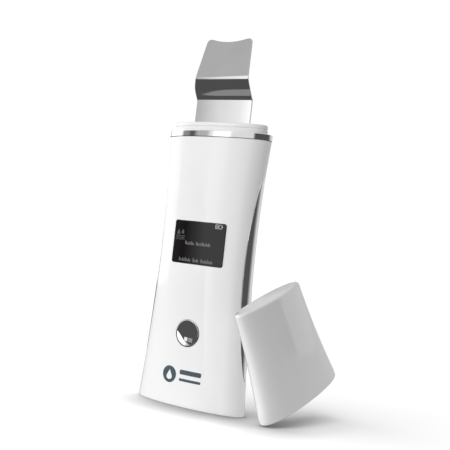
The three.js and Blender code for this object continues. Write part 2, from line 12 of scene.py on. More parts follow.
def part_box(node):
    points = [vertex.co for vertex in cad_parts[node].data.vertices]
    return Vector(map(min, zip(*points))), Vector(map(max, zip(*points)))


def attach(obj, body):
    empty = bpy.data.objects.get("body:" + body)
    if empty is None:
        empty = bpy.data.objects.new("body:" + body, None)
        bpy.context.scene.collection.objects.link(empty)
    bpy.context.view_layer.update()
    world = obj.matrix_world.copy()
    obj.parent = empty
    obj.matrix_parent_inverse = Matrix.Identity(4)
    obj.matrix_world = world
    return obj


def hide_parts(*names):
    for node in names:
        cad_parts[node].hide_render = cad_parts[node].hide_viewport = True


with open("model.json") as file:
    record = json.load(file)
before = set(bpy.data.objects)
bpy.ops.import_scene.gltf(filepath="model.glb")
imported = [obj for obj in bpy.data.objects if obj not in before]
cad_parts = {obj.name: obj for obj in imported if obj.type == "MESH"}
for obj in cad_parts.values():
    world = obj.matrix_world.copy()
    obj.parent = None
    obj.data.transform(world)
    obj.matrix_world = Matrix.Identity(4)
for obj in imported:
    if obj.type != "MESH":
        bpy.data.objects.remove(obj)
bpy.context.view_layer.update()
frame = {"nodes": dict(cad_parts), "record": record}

MM = 0.001


# ---------------- sizes

def low(node):
    """Lowest corner of a CAD node, in millimetres."""
    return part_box(node)[0] / MM


def high(node):
    """Highest corner of a CAD node, in millimetres."""
    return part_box(node)[1] / MM


def middle(node):
    """Centre of a CAD node, in millimetres."""
    return (low(node) + high(node)) / 2


# The handset's body, in millimetres as everything below until mesh_object().
BODY_HEIGHT = high("front_housing").z
BASE_HALF_WIDTH = high("front_housing").x
HALF_DEPTH = high("rear_housing").y
WAIST_HALF_WIDTH = 24.6
TOP_HALF_WIDTH = 26.8
WAIST_HEIGHT = 76
FLARE_POWER = 1.9
OVAL_POWER = 2.14
WALL = 1.8
HAIRLINE = 0.04           # half the width of a parting line
SOFT_EDGE = 0.22          # radius on the edges of the mouldings
SEAM_EDGE = 0.05
ANGLE_SCALE = 20          # millimetres per radian where an oval is unrolled

TRIM_CENTRE = middle("side_trim_right").z
TRIM_HALF_LENGTH = high("side_trim_right").z - TRIM_CENTRE
TRIM_HALF_WIDTH = 3.95
TRIM_POINT_POWER = 0.55
TRIM_PROUD = 0.1
TRIM_THICKNESS = 0.8

WINDOW_HALF_WIDTH = high("display_window").x
WINDOW_CENTRE = middle("display_window").z
WINDOW_HALF_HEIGHT = high("display_window").z - WINDOW_CENTRE
WINDOW_FACE = low("display_window").y
WINDOW_CORNER = 1.0

BUTTON_CENTRE = middle("mode_button").z
BUTTON_RADIUS = 6.1
BUTTON_FACE = low("mode_button").y
BUTTON_DISH = 0.42

STEM_Y = 0.6              # the middle of the blade's sheet, at its stem, its cove's top and its tip
COVE_Y = -3.85
TIP_Y = 0.0
COVE_START = 140.7
COVE_END = 149.5
COVE_TOP_LEAN = math.radians(11)
BLADE_THICKNESS = 0.9
BLADE_TIP = high("blade").z + 0.09


# ---------------- mesh tools

def add_object(name, data):
    made = bpy.data.objects.new(name, data)
    bpy.context.scene.collection.objects.link(made)
    return made


def mesh_object(name, vertices, faces, normals=None):
    """A mesh object from points in millimetres, with its own vertex normals if given."""
    mesh = bpy.data.meshes.new(name)
    mesh.from_pydata((np.asarray(vertices) * MM).tolist(), [], [list(map(int, f)) for f in faces])
    mesh.validate()
    mesh.polygons.foreach_set("use_smooth", [True] * len(mesh.polygons))
    if normals is not None:
        mesh.normals_split_custom_set_from_vertices(np.asarray(normals).tolist())
    return add_object(name, mesh)


def soften(made, sharp_degrees=35):
    """Smooth shading that keeps flats flat and edges sharper than the angle."""
    made.data.set_sharp_from_angle(angle=math.radians(sharp_degrees))
    weighted = made.modifiers.new("flats", "WEIGHTED_NORMAL")
    weighted.keep_sharp = True
    return made


def loft(name, rings, gap=None):
    """Quads between equal rings of points, and from the last ring back to the first.

    The two rings at a gap are closed by flat faces instead.
    """
    count = len(rings[0])
    faces = []
    for i in range(len(rings)):
        start, end = i * count, (i + 1) % len(rings) * count
        if i == gap:
            faces += [range(start, start + count), range(end + count - 1, end - 1, -1)]
            continue
        for j in range(count):
            k = (j + 1) % count
            faces.append((start + j, start + k, end + k, end + j))
    return face_out(mesh_object(name, np.concatenate(rings), faces))


def face_out(made):
    """Turns every face outwards."""
    shape = bmesh.new()
    shape.from_mesh(made.data)
    bmesh.ops.recalc_face_normals(shape, faces=shape.faces)
    shape.to_mesh(made.data)
    shape.free()
    return made


def oval(half_width, half_depth, power=OVAL_POWER, count=176):
    """Points of a superellipse, counter-clockwise from +X."""
    angle = np.linspace(0, 2 * math.pi, count, endpoint=False)
    return np.stack([
        half_width * bulge(np.cos(angle), power),
        half_depth * bulge(np.sin(angle), power),
    ], axis=1)


def bulge(value, power=OVAL_POWER):
    """A sine or cosine swollen into a superellipse's."""
    return np.sign(value) * np.abs(value) ** (2 / power)


def level(outline, z, shift_y=0.0):
    """An XY outline at one height."""
    return np.column_stack([outline[:, 0], outline[:, 1] + shift_y, np.full(len(outline), z)])


def quarter(radius, steps=4):
    """Offsets (along, inwards) round a quarter circle, from the wall to the face."""
    turn = np.linspace(0, math.pi / 2, steps + 1)
    return [(radius * math.sin(a), radius * (1 - math.cos(a))) for a in turn]


def rounded_edge(size, end, radius, power=OVAL_POWER):
    """Rings from an oval's side onto its face at a height. A negative radius faces down."""
    return [
        level(oval(size[0] - abs(inwards), size[1] - abs(inwards), power), end - radius + along)
        for along, inwards in quarter(radius)
    ]


def revolve(name, profile, centre, count):
    """A body turned about the Y axis through centre (x, z).

    The profile is (radius, y) points that start and end on the axis.
    """
    vertices = [(centre[0], profile[0][1], centre[1])]
    for radius, y in profile[1:-1]:
        vertices += [(x, y, z) for x, z in circle(radius, centre, count)]
    vertices.append((centre[0], profile[-1][1], centre[1]))
    faces = []
    last = len(vertices) - 1
    rings = len(profile) - 2
    for j in range(count):
        k = (j + 1) % count
        faces.append((0, 1 + j, 1 + k))
        for i in range(rings - 1):
            start, end = 1 + i * count, 1 + (i + 1) * count
            faces.append((start + j, end + j, end + k, start + k))
        faces.append((last, 1 + (rings - 1) * count + k, 1 + (rings - 1) * count + j))
    return face_out(mesh_object(name, vertices, faces))


def rounded_rectangle(half_width, half_height, radius, centre=(0, 0), steps=6):
    """Corner points of a rounded rectangle, counter-clockwise."""
    points = []
    for side_x, side_y, start in ((1, -1, -90), (1, 1, 0), (-1, 1, 90), (-1, -1, 180)):
        for step in range(steps + 1):
            a = math.radians(start + 90 * step / steps)
            points.append((
                centre[0] + side_x * (half_width - radius) + radius * math.cos(a),
                centre[1] + side_y * (half_height - radius) + radius * math.sin(a),
            ))
    return np.array(points)


def circle(radius, centre=(0, 0), count=64):
    turn = np.linspace(0, 2 * math.pi, count, endpoint=False)
    return np.column_stack([centre[0] + radius * np.cos(turn), centre[1] + radius * np.sin(turn)])


def resample(points, spacing):
    """Adds points along the long edges of an outline."""
    points = np.asarray(points, float)
    filled = []
    for start, end in zip(points, np.roll(points, -1, axis=0)):
        pieces = max(1, math.ceil(np.linalg.norm(end - start) / spacing))
        filled += [start + (end - start) * i / pieces for i in range(pieces)]
    return np.array(filled)


def inside(points, loops):
    """Which points lie inside the first loop and outside the others, by the even-odd rule."""
    odd = np.zeros(len(points), bool)
    for loop in loops:
        for (x0, y0), (x1, y1) in zip(loop, np.roll(loop, -1, axis=0)):
            if y0 == y1:
                continue
            crosses = (points[:, 1] > min(y0, y1)) & (points[:, 1] <= max(y0, y1))
            at = x0 + (points[:, 1] - y0) * (x1 - x0) / (y1 - y0)
            odd ^= crosses & (points[:, 0] < at)
    return odd


def triangulate(loops, spacing):
    """Fills the area between outlines with even triangles. Returns points and triangles."""
    border = np.concatenate(loops)
    edges = []
    for loop, start in zip(loops, np.cumsum([0] + [len(loop) for loop in loops[:-1]])):
        edges += [(start + i, start + (i + 1) % len(loop)) for i in range(len(loop))]
    lowest, highest = border.min(0), border.max(0)
    rows = np.arange(lowest[1] + spacing / 2, highest[1], spacing * math.sqrt(3) / 2)
    grid = [
        (x, y)
        for i, y in enumerate(rows)
        for x in np.arange(lowest[0] + spacing * (0.5 + 0.5 * (i % 2)), highest[0], spacing)
    ]
    grid = np.array(grid).reshape(-1, 2)
    grid = grid[inside(grid, loops)]
    starts = border[[a for a, _ in edges]]
    along = border[[b for _, b in edges]] - starts
    share = np.einsum("pek,ek->pe", grid[:, None] - starts, along) / np.maximum((along ** 2).sum(1), 1e-12)
    nearest = starts + np.clip(share, 0, 1)[..., None] * along
    clear = np.linalg.norm(grid[:, None] - nearest, axis=2).min(1) if len(grid) else np.zeros(0)
    grid = grid[clear > spacing * 0.45]
    everything = np.concatenate([border, grid])
    points, _, faces, _, _, _ = delaunay_2d_cdt(
        [Vector(p) for p in everything], [tuple(map(int, e)) for e in edges], [], 0, 1e-7,
    )
    points = np.array([tuple(p) for p in points])
    faces = np.array([f for f in faces if len(f) == 3])
    return points, faces[inside(points[faces].mean(1), loops)]


def thick_skin(name, loops, spacing, place, thickness, edge, back_edge=0.0, steps=3):
    """A closed sheet over unrolled outlines.

    place() turns unrolled points into positions and outward normals. edge is the radius of the front
    edge, a number or a function of the unrolled points, and the outlines lie that much inside the
    sheet's real border. thickness is a number or a function too.
    """
    flat, triangles = triangulate(loops, spacing)
    points, normals = place(flat)
    first, second, third = np.moveaxis(points[triangles], 1, 0)
    facing = np.einsum("ij,ij->i", np.cross(second - first, third - first), normals[triangles[:, 0]])
    if facing.sum() < 0:
        triangles = triangles[:, ::-1]
    directed = {(a, b) for t in triangles.tolist() for a, b in zip(t, t[1:] + t[:1])}
    border = sorted((a, b) for a, b in directed if (b, a) not in directed)
    outward = np.zeros_like(points)
    weight = np.ones(len(points))
    for a, b in border:
        away = np.cross(points[b] - points[a], normals[a] + normals[b])
        away /= np.linalg.norm(away)
        for v in (a, b):
            weight[v] += outward[v] @ away
            outward[v] += away
    outward /= np.maximum(weight, 0.4)[:, None]
    rim = sorted({v for pair in border for v in pair})
    slot = {v: i for i, v in enumerate(rim)}
    radius, depth = (
        size(flat) if callable(size) else np.full(len(flat), float(size)) for size in (edge, thickness)
    )
    aside = outward[rim]
    up = normals[rim]
    unit = aside / np.linalg.norm(aside, axis=1)[:, None]
    vertices = [points]
    shading = [normals]
    for step in range(1, steps + 1):
        a = math.pi / 2 * step / steps
        bend = radius[rim][:, None]
        vertices.append(points[rim] + bend * (math.sin(a) * aside - (1 - math.cos(a)) * up))
        shading.append(math.cos(a) * up + math.sin(a) * unit)
    back_steps = steps if back_edge else 1
    for step in range(back_steps):
        a = math.pi / 2 * step / back_steps
        reach = radius[rim] - back_edge * (1 - math.cos(a))
        fall = depth[rim] - back_edge * (1 - math.sin(a))
        vertices.append(points[rim] + reach[:, None] * aside - fall[:, None] * up)
        shading.append(math.cos(a) * unit - math.sin(a) * up if back_edge else unit)
    back = points - depth[:, None] * normals
    back[rim] += (radius[rim] - back_edge)[:, None] * aside
    vertices.append(back)
    shading.append(-normals)
    faces = triangles.tolist()
    rows = [np.array(rim)]
    start = len(points)
    for _ in range(len(vertices) - 2):
        rows.append(np.arange(start, start + len(rim)))
        start += len(rim)
    rows.append(start + np.array(rim))
    for a, b in border:
        i, j = slot[a], slot[b]
        for upper, lower in zip(rows, rows[1:]):
            faces.append((upper[j], upper[i], lower[i], lower[j]))
    faces += [(start + a, start + c, start + b) for a, b, c in triangles.tolist()]
    return mesh_object(name, np.concatenate(vertices), faces, np.concatenate(shading))


def merged(name, first, *others):
    """Joins meshes into one object and keeps each one's shading."""
    bpy.ops.object.select_all(action="DESELECT")
    for other in others:
        other.select_set(True)
    first.select_set(True)
    bpy.context.view_layer.objects.active = first
    bpy.ops.object.join()
    bpy.ops.object.select_all(action="DESELECT")
    first.name = name
    return first


# ---------------- the handset's surface

def half_width(z):
    """Half of the handset's width at a height."""
    below = z < WAIST_HEIGHT
    reach = np.where(below, WAIST_HEIGHT, BODY_HEIGHT - WAIST_HEIGHT)
    end = np.where(below, BASE_HALF_WIDTH, TOP_HALF_WIDTH)
    flare = np.abs((z - WAIST_HEIGHT) / reach) ** FLARE_POWER
    return WAIST_HALF_WIDTH + (end - WAIST_HALF_WIDTH) * flare


def body_surface(flat, lift=0.0):
    """Unrolled (angle, height) points on the handset's skin, with their normals."""
    angle = flat[:, 0] / ANGLE_SCALE
    z = flat[:, 1]
    width = half_width(z)
    slope = half_width(z + 0.05) - half_width(z - 0.05)
    x = width * bulge(np.cos(angle))
    y = HALF_DEPTH * bulge(np.sin(angle))
    share = np.abs(x) / width
    normals = np.column_stack([
        np.sign(x) * share ** (OVAL_POWER - 1) / width,
        np.sign(y) * (np.abs(y) / HALF_DEPTH) ** (OVAL_POWER - 1) / HALF_DEPTH,
        -share ** OVAL_POWER * slope / 0.1 / width,
    ])
    normals /= np.linalg.norm(normals, axis=1)[:, None]
    return np.column_stack([x, y, z]) + lift * normals, normals


def unroll(outline, side):
    """XZ points on the front (side -1) or rear (side 1) of the handset, unrolled."""
    share = bulge(outline[:, 0] / half_width(outline[:, 1]), 4 / OVAL_POWER)
    return np.column_stack([side * np.arccos(np.clip(share, -1, 1)) * ANGLE_SCALE, outline[:, 1]])


def side_angle(y):
    """Angle away from the widest line of the oval at a depth y."""
    return np.arcsin(np.clip(np.abs(y) / HALF_DEPTH, 0, 1) ** (OVAL_POWER / 2))


def leaf_half_width(along):
    """Half of a side trim's width, from -1 at its lower point to 1 at its upper one."""
    return TRIM_HALF_WIDTH * np.clip(1 - along * along, 0, 1) ** TRIM_POINT_POWER


def housing(name, side, holes):
    """Half of the handset's case, side -1 in front and 1 behind, split along the parting line."""
    seam = side_angle(HAIRLINE + SEAM_EDGE)
    along = -np.cos(np.linspace(0, math.pi, 72))
    leaf_z = TRIM_CENTRE + (TRIM_HALF_LENGTH + HAIRLINE + SEAM_EDGE) * along
    leaf = np.maximum(side_angle(leaf_half_width(along) + HAIRLINE + SEAM_EDGE), seam)
    bottom, top = SOFT_EDGE, BODY_HEIGHT - SOFT_EDGE
    right = [(seam, bottom), *zip(leaf, leaf_z), (seam, top)]
    left = [(math.pi - angle, z) for angle, z in reversed(right)]
    outer = np.array(right + left) * (side * ANGLE_SCALE, 1)
    loops = [resample(outer, 1.2), *(unroll(hole, side) for hole in holes)]

    def edge(flat):
        turn = np.abs(flat[:, 0]) / ANGLE_SCALE
        near_side = np.minimum(turn, math.pi - turn)
        within = (flat[:, 1] > 2 * bottom) & (flat[:, 1] < BODY_HEIGHT - 2 * bottom)
        return np.where(within & (near_side < leaf.max() + 0.01), SEAM_EDGE, SOFT_EDGE)

    made = thick_skin(name, loops, 1.7, body_surface, WALL, edge)
    for vertex in made.data.vertices:
        vertex.co.z = min(max(vertex.co.z, 0), BODY_HEIGHT * MM)
        vertex.co.y = side * max(side * vertex.co.y, HAIRLINE * MM)
    return made


def window_outline(growth):
    """The display window's outline, larger all round."""
    sizes = (WINDOW_HALF_WIDTH + growth, WINDOW_HALF_HEIGHT + growth, WINDOW_CORNER + growth)
    return rounded_rectangle(*sizes, (0, WINDOW_CENTRE))


def front_housing():
    window = resample(window_outline(HAIRLINE + SOFT_EDGE), 1.0)
    button = circle(BUTTON_RADIUS + 2 * HAIRLINE + SOFT_EDGE, (0, BUTTON_CENTRE))
    return housing("case_front", -1, [window, button])


SCREW_TIP = low("housing_screw_1").y
SCREW_SEAT = SCREW_TIP + 6.1
SCREW_RADIUS = 0.9
SCREW_HEAD_RADIUS = 1.9
WELL_SEAT = SCREW_TIP + 5.8
WELL_RADIUS = 2.2
WELL_WALL = 0.9
WELL_FLOOR = 1.6
PORT = (4.9, 2, 1.9)      # half width, half height and corner radius


def screw_centres():
    """(x, z) of the four case screws."""
    for number in range(1, 5):
        x, _, z = middle(f"housing_screw_{number}")
        yield x, z


def rear_housing():
    opening = rounded_rectangle(*(size + SOFT_EDGE for size in PORT), (0, middle("charge_socket").z))
    holes = [resample(opening, 0.8)]
    wells = []
    for x, z in screw_centres():
        holes.append(circle(WELL_RADIUS + SOFT_EDGE, (x, z), 40))
        wells.append(screw_well(x, z))
    return merged("case_rear", housing("case_rear", 1, holes), *wells)


def screw_well(x, z):
    """The post that a case screw pulls on, hollow down to the screw's seat."""
    surface = HALF_DEPTH * (1 - (abs(x) / half_width(z)) ** OVAL_POWER) ** (1 / OVAL_POWER)
    rim = surface - WALL - 0.2
    outside = WELL_RADIUS + WELL_WALL
    profile = [
        (0, WELL_SEAT - WELL_FLOOR), (outside, WELL_SEAT - WELL_FLOOR), (outside, rim),
        (WELL_RADIUS, rim), (WELL_RADIUS, WELL_SEAT), (0, WELL_SEAT),
    ]
    return soften(revolve("screw_well", profile, (x, z), 40), 30)


# ---------------- trims and ring

def side_trim(name, side):
    """Leaf of polished metal that wraps round the handset's side."""
    edge = 0.16
    reach = TRIM_HALF_LENGTH - edge
    along = -np.cos(np.linspace(0.06, math.pi - 0.06, 64))
    z = TRIM_CENTRE + reach * along
    angle = side_angle(np.maximum(leaf_half_width(along) - edge, 0.02))
    tips = [(0, TRIM_CENTRE - reach), (0, TRIM_CENTRE + reach)]
    outline = [tips[0], *zip(angle, z), tips[1], *reversed(list(zip(-angle, z)))]
    turn = 0 if side > 0 else math.pi
    loop = resample(np.array([(a * ANGLE_SCALE, h) for a, h in outline]), 0.8)
    loop[:, 0] += turn * ANGLE_SCALE
    return thick_skin(name, [loop], 0.9, lambda flat: body_surface(flat, TRIM_PROUD), TRIM_THICKNESS, edge)


def chrome_ring():
    """Polished band between the case and the collar."""
    size = high("chrome_ring")
    bottom, top = BODY_HEIGHT + 0.06, size.z
    bore = (24.55, 6.95)
    radius = 0.25
    rings = rounded_edge(size, bottom, -radius)[::-1] + rounded_edge(size, top, radius)
    rings.append(level(oval(bore[0] + 0.1, bore[1] + 0.1), top))
    rings += [level(oval(*bore), z) for z in (top - 0.1, bottom)]
    return soften(loft("ring", rings))


# ---------------- collar, seal and blade

COLLAR_HALF_WIDTH = 24.4
COLLAR_HALF_DEPTH = 6.8
# Inset and height round the collar's groove and step, upwards.
COLLAR_GROOVE = [
    (0, 126.75), (0.03, 126.82), (0.3, 126.92), (0.35, 127.0), (0.35, 127.2), (0.3, 127.28),
    (0.14, 127.36), (0.1, 127.44),
]
SEAL_HALF_WIDTH = 16.6
SEAL_HALF_DEPTH = 2.2
SLOT_POWER = 7


def collar():
    """Neck that the cap pushes onto, with the retaining groove round it."""
    bottom, top = low("collar").z, high("collar").z
    neck = COLLAR_HALF_WIDTH - high("collar").x + 1.9
    profile = [(neck, bottom), (0.2, BODY_HEIGHT - 2), (0, BODY_HEIGHT), *COLLAR_GROOVE]
    radius = 0.75
    for along, inwards in quarter(radius, 7):
        profile.append((0.12 + inwards, top - radius + along))
    rings = [level(oval(COLLAR_HALF_WIDTH - inset, COLLAR_HALF_DEPTH - inset), z) for inset, z in profile]
    slot = oval(SEAL_HALF_WIDTH + 0.1, SEAL_HALF_DEPTH + 0.1, SLOT_POWER)
    wide = oval(SEAL_HALF_WIDTH + 0.3, SEAL_HALF_DEPTH + 0.3, SLOT_POWER)
    rings += [level(wide, top), level(slot, top - 0.2), level(slot, bottom + 3)]
    return soften(loft("neck", rings), 50)


def blade_seal():
    """Soft plug round the blade's stem."""
    bottom, top = low("blade_seal").z, high("blade_seal").z
    size = (SEAL_HALF_WIDTH, SEAL_HALF_DEPTH)
    rings = [level(oval(*size, SLOT_POWER), bottom), *rounded_edge(size, top, 0.25, SLOT_POWER)]
    slit = oval(15.2, BLADE_THICKNESS / 2 + 0.12, SLOT_POWER)
    lip = oval(15.4, BLADE_THICKNESS / 2 + 0.35, SLOT_POWER)
    for outline, z in ((lip, top), (slit, top - 0.25), (slit, bottom)):
        rings.append(level(outline, z, STEM_Y))
    return soften(loft("stem_seal", rings), 50)


def blade_path():
    """Side view of the blade's middle: distance along it, y, z and lean from upright."""
    bottom = low("blade").z
    sweep = 2 * math.atan((STEM_Y - COVE_Y) / (COVE_END - COVE_START)) - COVE_TOP_LEAN
    radius = (COVE_END - COVE_START) / (math.sin(sweep) - math.sin(COVE_TOP_LEAN))
    lean = math.atan((TIP_Y - COVE_Y) / (BLADE_TIP - COVE_END - 1))
    turn = 0.3
    runs = [
        (COVE_START - bottom - turn / 2, 0, 0),
        (turn, 0, -sweep),
        (radius * (sweep - COVE_TOP_LEAN) - turn / 2, -sweep, -COVE_TOP_LEAN),
        (0.2, -COVE_TOP_LEAN, 0),
        (2.0, 0, lean),
        (BLADE_TIP - COVE_END, lean, lean),
    ]
    step = 0.05
    lengths, leans = [0.0], [0.0]
    for length, start, end in runs:
        pieces = round(length / step)
        for i in range(pieces):
            lengths.append(lengths[-1] + length / pieces)
            leans.append(start + (end - start) * (i + 1) / pieces)
    lengths, leans = np.array(lengths), np.array(leans)
    gaps = np.diff(lengths, prepend=0)
    y = STEM_Y + np.cumsum(gaps * np.sin(leans))
    z = bottom + np.cumsum(gaps * np.cos(leans))
    return lengths, y, z, leans


# Half width of the blade by height, from its tang up to the foot of its face.
BLADE_SIDE = [
    (4.2, low("blade").z + 0.2), (4.2, 116), (14.9, 119), (14.9, COVE_START), (14.85, COVE_START + 4.5),
    (14.15, COVE_END + 0.5),
]


def blade():
    """Bent steel blade: stem, cove and a leaning face whose tip is hollowed between two horns."""
    lengths, path_y, path_z, leans = blade_path()
    edge = 0.2
    tip = BLADE_TIP
    side = [(x - edge, z) for x, z in BLADE_SIDE]
    horn = bezier((12.2 - edge, tip - 1.9), (11.9 - edge, tip - 0.35), (10.4, tip - 0.1), (8.6, tip - 0.55))
    hollow = bezier((8.6, tip - 0.55), (5.8, tip - 1.35), (2.9, tip - 1.75), (0, tip - 1.75))
    right = [*side, *horn, *hollow[1:]]
    outline = np.array(right + [(-x, z) for x, z in reversed(right[:-1])])
    outline = resample(outline, 0.8)
    outline[:, 1] = np.interp(outline[:, 1], path_z, lengths)

    def place(flat):
        y = np.interp(flat[:, 1], lengths, path_y)
        z = np.interp(flat[:, 1], lengths, path_z)
        lean = np.interp(flat[:, 1], lengths, leans)
        normals = np.column_stack([np.zeros(len(flat)), -np.cos(lean), np.sin(lean)])
        return np.column_stack([flat[:, 0], y, z]) + BLADE_THICKNESS / 2 * normals, normals

    def thickness(flat):
        ground = np.interp(flat[:, 1], [lengths[-1] - 7.5, lengths[-1] - 1.5], [0, 1])
        return BLADE_THICKNESS - 0.35 * ground

    return thick_skin("steel_blade", [outline], 0.7, place, thickness, edge, 0.18)


def bezier(start, first, second, end, steps=8):
    """Points along a cubic curve."""
    share = np.linspace(0, 1, steps + 1)[:, None]
    curve = ((1 - share) ** 3 * np.array(start) + 3 * (1 - share) ** 2 * share * np.array(first)
             + 3 * (1 - share) * share ** 2 * np.array(second) + share ** 3 * np.array(end))
    return [tuple(p) for p in curve]


# ---------------- display, button and print

def upright(outline, y):
    """An XZ outline at one depth."""
    return np.column_stack([outline[:, 0], np.full(len(outline), y), outline[:, 1]])


def flat_front(y):
    """Places XZ outlines on a plane that faces -Y."""
    return lambda flat: (upright(flat, y), np.tile([0.0, -1.0, 0.0], (len(flat), 1)))


def display_window():
    edge = 0.18
    outline = resample(window_outline(-edge), 1.5)
    return thick_skin("display_glass", [outline], 2.5, flat_front(WINDOW_FACE), 1.0, edge)


def drop(centre, radius, height, count=40):
    """Teardrop outline, point upwards."""
    turn = np.linspace(0, 2 * math.pi, count, endpoint=False)
    rise = (1 + np.cos(turn)) / 2
    x = radius * np.sin(turn) * (1 - rise ** 2.2 * 0.999) ** 0.75 * 1.12
    z = radius * np.cos(turn) + rise ** 3 * (height - 2 * radius)
    return np.column_stack([centre[0] + x, centre[1] + z])


INK_HEIGHT = 0.02


def ink(name, shapes, place, spacing=0.8):
    """Thin printed shapes. Each shape is a list of outlines, the first one outside and the rest holes."""
    parts = [
        thick_skin(f"{name}_{i}", loops, spacing, place, INK_HEIGHT, 0.006, steps=1)
        for i, loops in enumerate(shapes)
    ]
    return merged(name, *parts)


def bar(x0, x1, z0, z1, radius):
    """Outline of a bar with rounded corners."""
    return rounded_rectangle((x1 - x0) / 2, (z1 - z0) / 2, radius, ((x0 + x1) / 2, (z0 + z1) / 2), 4)


STROKE = 0.26
STROKE_HEIGHT = 1.7
# Start and end from the window's left edge, height above its lower edge, and strokes.
MENU_WORDS = [
    (6.5, 11.5, 8.6, 8), (12.4, 20.1, 8.6, 12),
    (4.0, 10.4, 1.0, 10), (11.5, 14.6, 1.0, 5), (15.8, 22.3, 1.0, 10),
]


def word(start, end, bottom, strokes):
    """A run of thin strokes that stands for a word without spelling one."""
    top = bottom + STROKE_HEIGHT
    pitch = (end - start) / strokes
    return [
        [bar(start + i * pitch, start + i * pitch + STROKE, bottom, top - 0.22 * ((i * 2) % 5), 0.08)]
        for i in range(strokes)
    ]


def display_text():
    """Placeholder lines of the menu."""
    left, lower = -WINDOW_HALF_WIDTH, WINDOW_CENTRE - WINDOW_HALF_HEIGHT
    shapes = []
    for start, end, height, strokes in MENU_WORDS:
        shapes += word(left + start, left + end, lower + height, strokes)
    return ink("menu_lines", shapes, flat_front(WINDOW_FACE - INK_HEIGHT))


def battery_symbol():
    """Battery outline with its terminal and two cells."""
    right, top = WINDOW_HALF_WIDTH - 2.1, WINDOW_CENTRE + WINDOW_HALF_HEIGHT - 0.5
    x0, x1, z0, z1 = right - 3.5, right, top - 1.9, top
    line = 0.22
    shapes = [
        [bar(x0, x1, z0, z1, 0.35), bar(x0 + line, x1 - line, z0 + line, z1 - line, 0.15)],
        [bar(x1 + 0.08, x1 + 0.4, z0 + 0.6, z1 - 0.6, 0.1)],
    ]
    cell = 0.5
    for i in range(2):
        start = x0 + 0.6 + i * (cell + 0.45)
        shapes.append([bar(start, start + cell, z0 + 0.55, z1 - 0.55, 0.08)])
    return ink("battery_symbol", shapes, flat_front(WINDOW_FACE - INK_HEIGHT), 0.3)


def mode_symbol():
    """Dim picture of two drops over ripples."""
    left, bottom = -WINDOW_HALF_WIDTH, WINDOW_CENTRE - WINDOW_HALF_HEIGHT
    shapes = [
        [drop((left + 2.3, bottom + 13.7), 0.85, 2.6)],
        [drop((left + 4.6, bottom + 14.0), 0.7, 2.2)],
    ]
    for row in range(3):
        x = np.linspace(left + 1.0, left + 5.9, 25)
        wave = bottom + 12.3 - row * 0.75 + 0.16 * np.sin((x - left) * 2.6 + row)
        upper, under = (np.column_stack([x, wave + side]) for side in (0.14, -0.14))
        shapes.append([np.concatenate([under, upper[::-1]])])
    return ink("mode_symbol", shapes, flat_front(WINDOW_FACE - INK_HEIGHT), 0.4)


def printed_mark():
    """Generic mark below the button: a drop beside two plain bars."""
    shapes = [
        [circle(3.75, (-7.3, 13.5), 72), drop((-7.3, 12.7), 1.55, 4.6, 48)],
        [bar(-1.7, 9.5, 14.4, 16.5, 0.6)],
        [bar(-1.7, 9.5, 11.4, 12.6, 0.45)],
    ]
    on_front = [[unroll(resample(loop, 0.7), -1) for loop in loops] for loops in shapes]
    return ink("printed_mark", on_front, lambda flat: body_surface(flat, INK_HEIGHT), 0.9)


def mode_button():
    """Push button with a hollow, mirror-bright face."""
    rim = 5.75
    face = BUTTON_FACE
    back = high("mode_button").y
    flange, flange_radius = back - 0.55, 7.3
    profile = [(0, face + BUTTON_DISH)]
    for share in np.linspace(0.06, 1, 20):
        profile.append((rim * share, face + BUTTON_DISH * (1 - share ** 2)))
    for angle in np.linspace(20, 90, 5):
        a = math.radians(angle)
        profile.append((rim + (BUTTON_RADIUS - rim) * math.sin(a), face + 0.35 * (1 - math.cos(a))))
    profile += [(BUTTON_RADIUS, flange), (flange_radius, flange), (flange_radius, back), (0, back)]
    return soften(revolve("push_button", profile, (0, BUTTON_CENTRE), 96), 40)


# ---------------- rear details

def case_screw(name, x, z):
    """Pan head screw with a cross recess, seen down its well."""
    crown = SCREW_SEAT + 1.2
    head = SCREW_HEAD_RADIUS
    profile = [(0, SCREW_TIP), (SCREW_RADIUS, SCREW_TIP), (SCREW_RADIUS, SCREW_SEAT), (head, SCREW_SEAT)]
    for angle in np.linspace(0, 80, 6):
        a = math.radians(angle)
        profile.append((head * (0.55 + 0.45 * math.cos(a)), SCREW_SEAT + 0.45 + 0.7 * math.sin(a)))
    profile.append((0, crown))
    made = revolve(name, profile, (x, z), 48)
    cross = bmesh.new()
    arm, slot, depth = 2.3, 0.52, 1.4
    for size in ((arm, depth, slot), (slot, depth, arm)):
        place = Matrix.Translation(Vector((x, crown, z)) * MM) @ Matrix.Diagonal((*(Vector(size) * MM), 1))
        bmesh.ops.create_cube(cross, matrix=place)
    cutter = add_object("cutter", bpy.data.meshes.new("cutter"))
    cross.to_mesh(cutter.data)
    cross.free()
    cut = made.modifiers.new("recess", "BOOLEAN")
    cut.object = cutter
    cut.use_self = True
    bpy.context.view_layer.update()
    carved = bpy.data.meshes.new_from_object(made.evaluated_get(bpy.context.evaluated_depsgraph_get()))
    made.modifiers.clear()
    made.data = carved
    bpy.data.objects.remove(cutter)
    return soften(made, 30)


